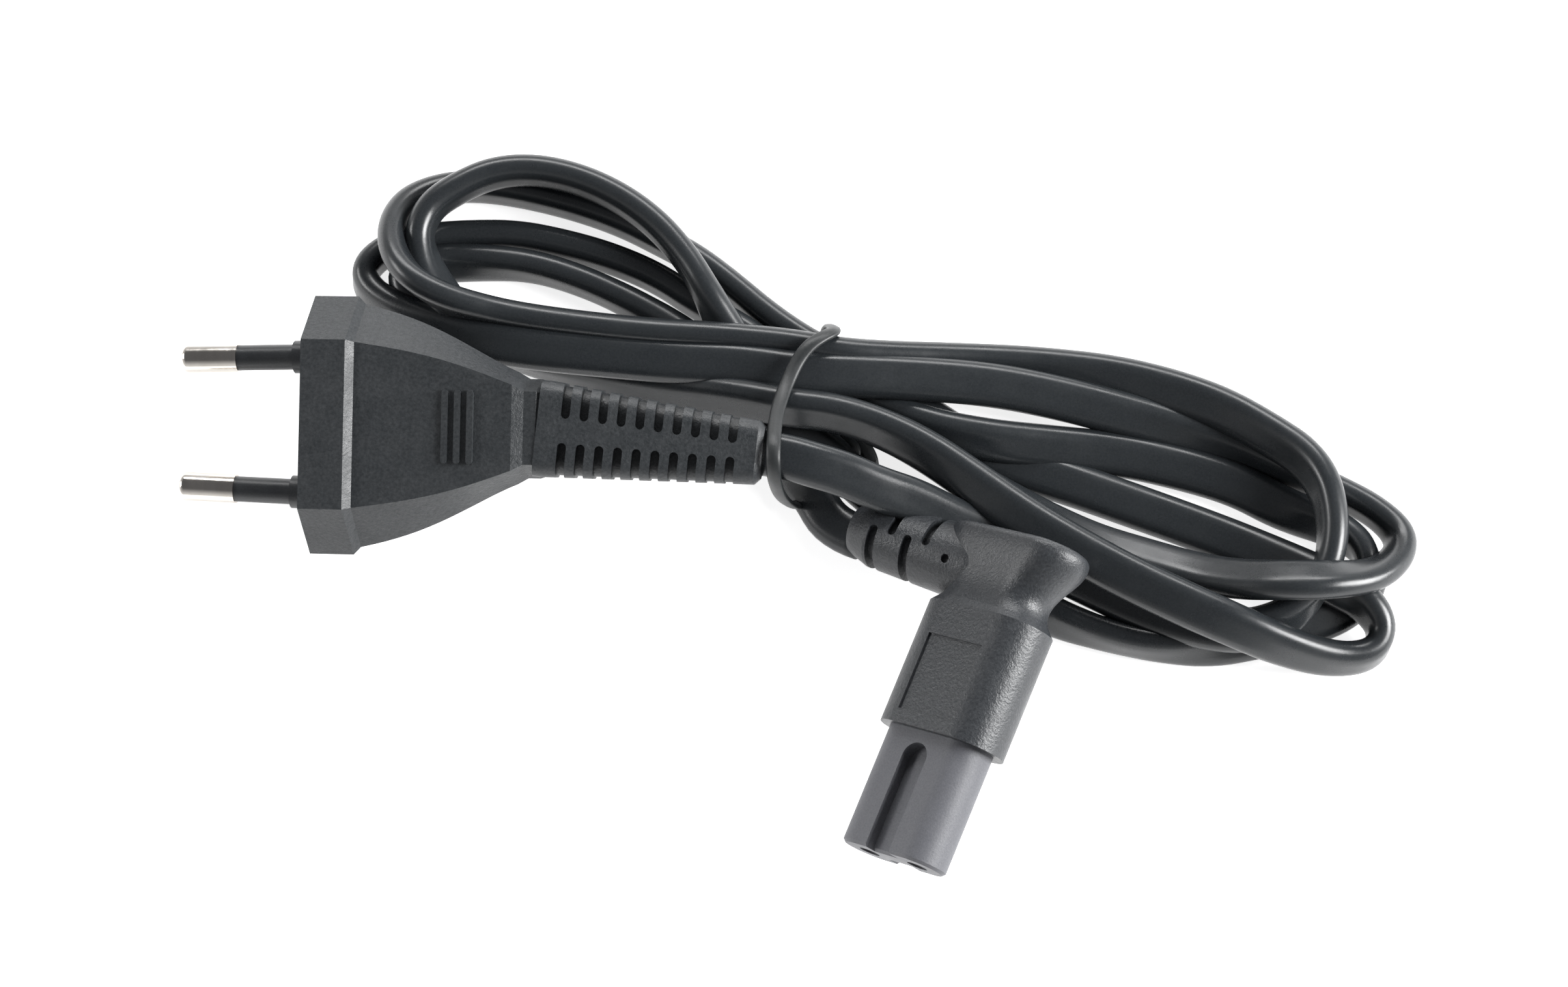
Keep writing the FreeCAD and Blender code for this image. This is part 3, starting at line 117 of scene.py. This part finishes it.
# The way that the strands run at the tie, along which the band lies flat
STRANDS_WAY = Vector((0.96, -0.27, 0.05)).normalized()
TIE_ROUTE = [
    (26.4, 35.1, 13.3), (24.6, 33.6, 13.7), (23.1, 31.5, 13.5), (21.9, 28.7, 13.6), (20.9, 25.8, 14.5),
    (20.3, 22.6, 16.4), (20.0, 19.3, 18.9), (19.9, 16.8, 19.8), (19.9, 14.9, 19.3), (20, 13.4, 17.2),
    (20.6, 12.9, 12.6), (21.7, 13.3, 7.2), (23.1, 14.2, 2.6), (24.4, 16.2, 0.4), (25.4, 20.5, 0.4),
    (26, 25.5, 0.4), (26.4, 31, 0.4), (26.8, 36, 0.4), (27.1, 39.2, 0.6), (27.4, 39.7, 3.4),
    (27.8, 38.9, 7), (28.2, 37.6, 10.2), (28.2, 36.3, 12.3),
]
TAIL_ROUTES = {
    "tie_tail_left": [(26.4, 24, 0.5), (28.4, 23.6, 2.4), (30.6, 23, 3.6), (31.2, 21.6, 3.8),
                      (30.4, 20.2, 3.6), (29.2, 18.9, 3)],
    "tie_tail_right": [(26.6, 26, 0.5), (29.4, 24.8, 2.6), (31.8, 23.4, 3.4), (33.2, 21.6, 3.4),
                       (33.6, 19.6, 3.2), (33.6, 17.8, 2.6)],
}

# Small helpers


def link(obj):
    bpy.context.scene.collection.objects.link(obj)
    return obj


def nurbs_points(name, rows, smoothness=6, closed=False):
    """the points that Blender reads along one spline of order 3, led by rows of millimetres"""
    data = bpy.data.curves.new(name, "CURVE")
    data.dimensions = "3D"
    data.resolution_u = smoothness
    spline = data.splines.new("NURBS")
    spline.points.add(len(rows) - 1)
    for point, (x, y, z) in zip(spline.points, rows):
        point.co = (x * MM, y * MM, z * MM, 1.0)
    spline.use_cyclic_u = closed
    spline.order_u = 3
    spline.use_endpoint_u = not closed
    obj = link(bpy.data.objects.new(name, data))
    bpy.context.view_layer.update()
    mesh = bpy.data.meshes.new_from_object(obj)
    points = [vertex.co.copy() for vertex in mesh.vertices]
    bpy.data.meshes.remove(mesh)
    bpy.data.objects.remove(obj)
    bpy.data.curves.remove(data)
    return points


def mesh_object(name, verts, faces, material, smooth=True):
    mesh = bpy.data.meshes.new(name)
    mesh.from_pydata([tuple(vert) for vert in verts], [], faces)
    mesh.validate()
    mesh.materials.append(material)
    for face in mesh.polygons:
        face.use_smooth = smooth
    return link(bpy.data.objects.new(name, mesh))


def tangents(points, closed=False):
    """the way that a line goes at each of its points"""
    count = len(points)
    ways = []
    for i in range(count):
        before = (i - 1) % count if closed else max(i - 1, 0)
        after = (i + 1) % count if closed else min(i + 1, count - 1)
        ways.append((points[after] - points[before]).normalized())
    return ways


def oval(width, thickness, round_steps=9, crown=0.0):
    """a flat section with round ends, as pairs along its wide and its thin way; crown arches its flats"""
    radius = thickness / 2
    half_flat = width / 2 - radius
    pairs = []
    for side in (1, -1):
        for step in range(round_steps + 1):
            turn = math.radians(180 * step / round_steps - 90 * side)
            pairs.append((side * half_flat + radius * math.cos(turn), radius * math.sin(turn)))
        for quarter in (1, 2, 3):
            arch = crown * math.sin(math.pi * quarter / 4)
            pairs.append((side * half_flat * (1 - quarter / 2), side * (radius + arch)))
    return [(wide * MM, thin * MM) for wide, thin in pairs]


def sweep(name, points, wides, section, material, closed=False):
    """a tube that follows the points, its section's wide way along each of the wide directions"""
    verts = []
    for point, way, wide in zip(points, tangents(points, closed), wides):
        across = (wide - way * wide.dot(way)).normalized()
        thin = way.cross(across)
        verts += [point + across * a + thin * b for a, b in section]
    rings, corners = len(points), len(section)
    faces = []
    for ring in range(rings if closed else rings - 1):
        near, far = ring * corners, (ring + 1) % rings * corners
        for corner in range(corners):
            other = (corner + 1) % corners
            faces.append((near + corner, near + other, far + other, far + corner))
    if not closed:
        faces.append(tuple(reversed(range(corners))))
        faces.append(tuple(range((rings - 1) * corners, rings * corners)))
    return mesh_object(name, verts, faces, material)


def aim(obj, place, target):
    """puts a lamp or the camera at its place, looking at the target"""
    obj.location = place
    obj.rotation_euler = (Vector(target) - Vector(place)).to_track_quat("-Z", "Y").to_euler()


# Materials


class Nodes:
    """a short way to write a material's nodes"""

    def __init__(self, name):
        self.material = bpy.data.materials.new(name)
        self.material.use_nodes = True
        self.tree = self.material.node_tree
        self.shader = self.tree.nodes["Principled BSDF"]
        self.coords = self.add("ShaderNodeTexCoord").outputs["Object"]

    def add(self, kind, **inputs):
        node = self.tree.nodes.new(kind)
        for key, value in inputs.items():
            node.inputs[key.replace("_", " ")].default_value = value
        return node

    def join(self, output, target):
        self.tree.links.new(output, target)

    def noise(self, scale, detail, roughness, stretch=None):
        node = self.add("ShaderNodeTexNoise", Scale=scale, Detail=detail, Roughness=roughness)
        source = self.coords
        if stretch:
            mapping = self.add("ShaderNodeMapping", Scale=stretch)
            self.join(source, mapping.inputs["Vector"])
            source = mapping.outputs["Vector"]
        self.join(source, node.inputs["Vector"])
        return node.outputs["Fac"]

    def colour(self, source, dark, light, start=0.3, end=0.7):
        """the base colour, from dark to light as the source rises from start to end"""
        node = self.add("ShaderNodeValToRGB")
        for element, place, tone in zip(node.color_ramp.elements, (start, end), (dark, light)):
            element.position = place
            element.color = (*tone, 1.0)
        self.join(source, node.inputs["Fac"])
        self.join(node.outputs["Color"], self.shader.inputs["Base Color"])

    def gloss(self, source, smooth, rough, start=0.3, end=0.7):
        """the roughness, from smooth to rough as the source rises from start to end"""
        node = self.add("ShaderNodeMapRange", From_Min=start, From_Max=end, To_Min=smooth, To_Max=rough)
        self.join(source, node.inputs["Value"])
        self.join(node.outputs["Result"], self.shader.inputs["Roughness"])

    def relief(self, *layers):
        """the surface's relief, from layers of a source, a strength and a height in metres"""
        normal = None
        for source, strength, height in layers:
            node = self.add("ShaderNodeBump", Strength=strength, Distance=height)
            self.join(source, node.inputs["Height"])
            if normal:
                self.join(normal, node.inputs["Normal"])
            normal = node.outputs["Normal"]
        self.join(normal, self.shader.inputs["Normal"])

    def metal(self):
        self.shader.inputs["Metallic"].default_value = 1.0
        return self.material


def moulded(name, dark, light, grain_scale, grain, smooth, rough, dents=0.16):
    """black moulded plastic: an eroded grain, soft dents, and a finish that handling has made uneven"""
    m = Nodes(name)
    m.colour(m.noise(1.2 * grain_scale, 4, 0.7), dark, light, 0.34, 0.66)
    m.gloss(m.noise(210, 6, 0.7), smooth, rough, 0.32, 0.68)
    m.relief((m.noise(grain_scale, 3, 0.7), grain, 0.0001), (m.noise(320, 3, 0.5), dents, 0.0001))
    return m.material


def nickel_plate():
    """polished plating with faint marks along the pin"""
    m = Nodes("nickel_plate")
    m.colour(m.noise(260, 5, 0.6), (0.60, 0.565, 0.52), (0.70, 0.665, 0.62))
    marks = m.noise(900, 4, 0.7, stretch=(1.0, 0.12, 0.12))
    m.gloss(marks, 0.09, 0.19)
    m.relief((marks, 0.06, 0.00002))
    return m.metal()


def spring_metal():
    m = Nodes("spring_metal")
    tone = m.noise(400, 4, 0.6)
    m.colour(tone, (0.62, 0.45, 0.2), (0.8, 0.62, 0.32))
    m.gloss(tone, 0.22, 0.42)
    m.relief((m.noise(1500, 3, 0.6), 0.1, 0.00003))
    return m.metal()


def core_plastic(name, dark, light):
    m = Nodes(name)
    tone = m.noise(300, 4, 0.6)
    m.colour(tone, dark, light)
    m.gloss(tone, 0.3, 0.46)
    m.relief((m.noise(2200, 3, 0.6), 0.12, 0.00004))
    return m.material


def copper_strands():
    """fine wires side by side along the cord"""
    m = Nodes("copper_strands")
    strand = m.noise(2600, 3, 0.5, stretch=(0.1, 1.0, 1.0))
    m.colour(strand, (0.5, 0.2, 0.1), (0.86, 0.46, 0.3))
    m.gloss(strand, 0.2, 0.5)
    m.relief((strand, 0.5, 0.0001))
    return m.metal()


# Each plastic: dark, light, the grain's scale and strength, and its smoothest and roughest value
MOULDING = moulded("moulding", (0.013, 0.0155, 0.0175), (0.032, 0.035, 0.038), 1900, 0.9, 0.36, 0.52)
SATIN = moulded("satin_moulding", (0.018, 0.020, 0.023), (0.038, 0.041, 0.045), 2100, 0.9, 0.30, 0.44)
INSERT = moulded("insert", (0.024, 0.024, 0.031), (0.033, 0.033, 0.042), 3400, 0.35, 0.36, 0.48)
# The nose's bluish tint is its own, but its colour is made much lighter than the black insert as painted
# sheen
NOSE_PAINTED_SHEEN = moulded("nose", (0.082, 0.084, 0.094), (0.106, 0.108, 0.120), 3400, 0.35, 0.44, 0.56)
SHEATH = moulded("sheath", (0.013, 0.0155, 0.0175), (0.020, 0.0225, 0.025), 3000, 0.07, 0.24, 0.34,
                 dents=0.05)
TIE = moulded("tie", (0.010, 0.012, 0.013), (0.016, 0.018, 0.019), 2400, 0.2, 0.38, 0.50)
SLEEVE = moulded("sleeve", (0.017, 0.019, 0.021), (0.026, 0.028, 0.031), 3600, 0.18, 0.28, 0.40)
NICKEL = nickel_plate()
SPRING = spring_metal()
LIVE = core_plastic("live_core", (0.17, 0.065, 0.025), (0.25, 0.10, 0.04))
NEUTRAL = core_plastic("neutral_core", (0.035, 0.13, 0.42), (0.06, 0.19, 0.56))
COPPER = copper_strands()

LOOKS = {
    "plug_body": MOULDING, "connector_body": SATIN, "plug_pin_carrier": INSERT,
    "connector_insert": NOSE_PAINTED_SHEEN, "plug_cord_end": SHEATH, "connector_cord_end": SHEATH,
    "plug_pin_live": NICKEL, "plug_pin_neutral": NICKEL,
    "plug_sleeve_live": SLEEVE, "plug_sleeve_neutral": SLEEVE,
    "connector_contact_live": SPRING, "connector_contact_neutral": SPRING,
    "plug_core_live": LIVE, "connector_core_live": LIVE,
    "plug_core_neutral": NEUTRAL, "connector_core_neutral": NEUTRAL,
    "plug_strands_live": COPPER, "plug_strands_neutral": COPPER,
    "connector_strands_live": COPPER, "connector_strands_neutral": COPPER,
}
for node_name, look in LOOKS.items():
    for place in NODES[node_name].material_slots:
        place.material = look

# The cord

line = nurbs_points("cord_line", [(x, y, z) for x, y, z, _ in ROUTE])
leans = nurbs_points("cord_leans", [(lean, 0, 0) for _, _, _, lean in ROUTE])
wide_ways = []
for way, lean in zip(tangents(line), leans):
    flat_way = UP.cross(way).normalized()
    angle = math.radians(lean.x / MM)
    wide_ways.append(flat_way * math.cos(angle) + way.cross(flat_way) * math.sin(angle))
cord = sweep("cord", line, wide_ways, oval(CORD_WIDTH, CORD_THICKNESS), SHEATH)
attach(cord, "root")
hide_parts("cord_plug_lead", "cord_hank", "cord_connector_lead")

# The tie

band = oval(TIE_WIDTH, TIE_THICKNESS, 5, TIE_CROWN)
tie_line = nurbs_points("tie_line", TIE_ROUTE, TIE_SMOOTHNESS, closed=True)
tie = sweep("tie", tie_line, [STRANDS_WAY] * len(tie_line), band, TIE, closed=True)
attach(tie, "root")
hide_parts("cord_tie")
for tail_name, rows in TAIL_ROUTES.items():
    tail_line = nurbs_points("tail_line", rows)
    tail = sweep(tail_name, tail_line, [UP.cross(way) for way in tangents(tail_line)], band, TIE)
    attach(tail, "root")

# The stage: a plain floor, which the camera and reflections see as white, and a room that is lighter low down

FLOOR_REACH = 3.0
FLOOR_SHADE = 0.8
FLOOR_GLOW = 0.8
ROOM_SHADES = [(0.18, (0.85, 0.85, 0.85, 1)), (0.72, (0.13, 0.13, 0.135, 1))]
# Each lamp: its size, power, place and target
LAMPS = {
    "back_softbox": ((0.9, 0.24), 7.5, (0.05, 0.85, 0.60), (0.02, 0.02, 0.01)),
    "right_softbox": ((0.45, 0.5), 20.0, (0.87, -0.02, 0.50), (0.02, 0.0, 0.01)),
    "left_softbox": ((0.45, 0.22), 3.1, (-0.85, 0.12, 0.38), (0.0, 0.02, 0.01)),
}
CAMERA_LENS = 102.7
CAMERA_SENSOR = 36.0
CAMERA_AT = (0.02135, -0.17464, 0.58965)
CAMERA_TARGET = (0.02135, 0.01695, 0.0)


def floor_white():
    """diffuse, so that it keeps the shadow, with a glow added for the rays that see it directly"""
    material = bpy.data.materials.new("floor_white")
    material.use_nodes = True
    tree = material.node_tree
    diffuse = tree.nodes["Principled BSDF"]
    diffuse.inputs["Base Color"].default_value = (FLOOR_SHADE, FLOOR_SHADE, FLOOR_SHADE, 1)
    diffuse.inputs["Roughness"].default_value = 0.7
    glow = tree.nodes.new("ShaderNodeEmission")
    glow.inputs["Color"].default_value = (1, 1, 1, 1)
    glow.inputs["Strength"].default_value = FLOOR_GLOW
    both = tree.nodes.new("ShaderNodeAddShader")
    pick = tree.nodes.new("ShaderNodeMixShader")
    path = tree.nodes.new("ShaderNodeLightPath")
    tree.links.new(diffuse.outputs[0], both.inputs[0])
    tree.links.new(glow.outputs[0], both.inputs[1])
    seen = path.outputs["Is Camera Ray"]
    for ray in ("Is Glossy Ray", "Is Transmission Ray"):
        either = tree.nodes.new("ShaderNodeMath")
        either.operation = "MAXIMUM"
        tree.links.new(seen, either.inputs[0])
        tree.links.new(path.outputs[ray], either.inputs[1])
        seen = either.outputs[0]
    tree.links.new(seen, pick.inputs[0])
    tree.links.new(diffuse.outputs[0], pick.inputs[1])
    tree.links.new(both.outputs[0], pick.inputs[2])
    tree.links.new(pick.outputs[0], tree.nodes["Material Output"].inputs["Surface"])
    return material


floor_corners = [(x * FLOOR_REACH, y * FLOOR_REACH, 0) for x, y in ((-1, -1), (1, -1), (1, 1), (-1, 1))]
floor = mesh_object("floor", floor_corners, [(0, 1, 2, 3)], floor_white(), smooth=False)

world = bpy.data.worlds.new("studio")
bpy.context.scene.world = world
world.use_nodes = True
room = world.node_tree
toward = room.nodes.new("ShaderNodeTexCoord")
split = room.nodes.new("ShaderNodeSeparateXYZ")
fade = room.nodes.new("ShaderNodeValToRGB")
for element, (place, shade) in zip(fade.color_ramp.elements, ROOM_SHADES):
    element.position = place
    element.color = shade
room.links.new(toward.outputs["Generated"], split.inputs[0])
room.links.new(split.outputs["Z"], fade.inputs["Fac"])
room.links.new(fade.outputs["Color"], room.nodes["Background"].inputs["Color"])

for lamp_name, (size, power, place, target) in LAMPS.items():
    lamp_data = bpy.data.lights.new(lamp_name, "AREA")
    lamp_data.shape = "RECTANGLE"
    lamp_data.size, lamp_data.size_y = size
    lamp_data.energy = power
    aim(link(bpy.data.objects.new(lamp_name, lamp_data)), place, target)

camera_data = bpy.data.cameras.new("camera")
camera_data.lens = CAMERA_LENS
camera_data.sensor_width = CAMERA_SENSOR
camera_data.clip_start = 0.01
camera = link(bpy.data.objects.new("camera", camera_data))
aim(camera, CAMERA_AT, CAMERA_TARGET)
bpy.context.scene.camera = camera
bpy.context.scene.view_settings.view_transform = "Standard"

bpy.context.view_layer.update()
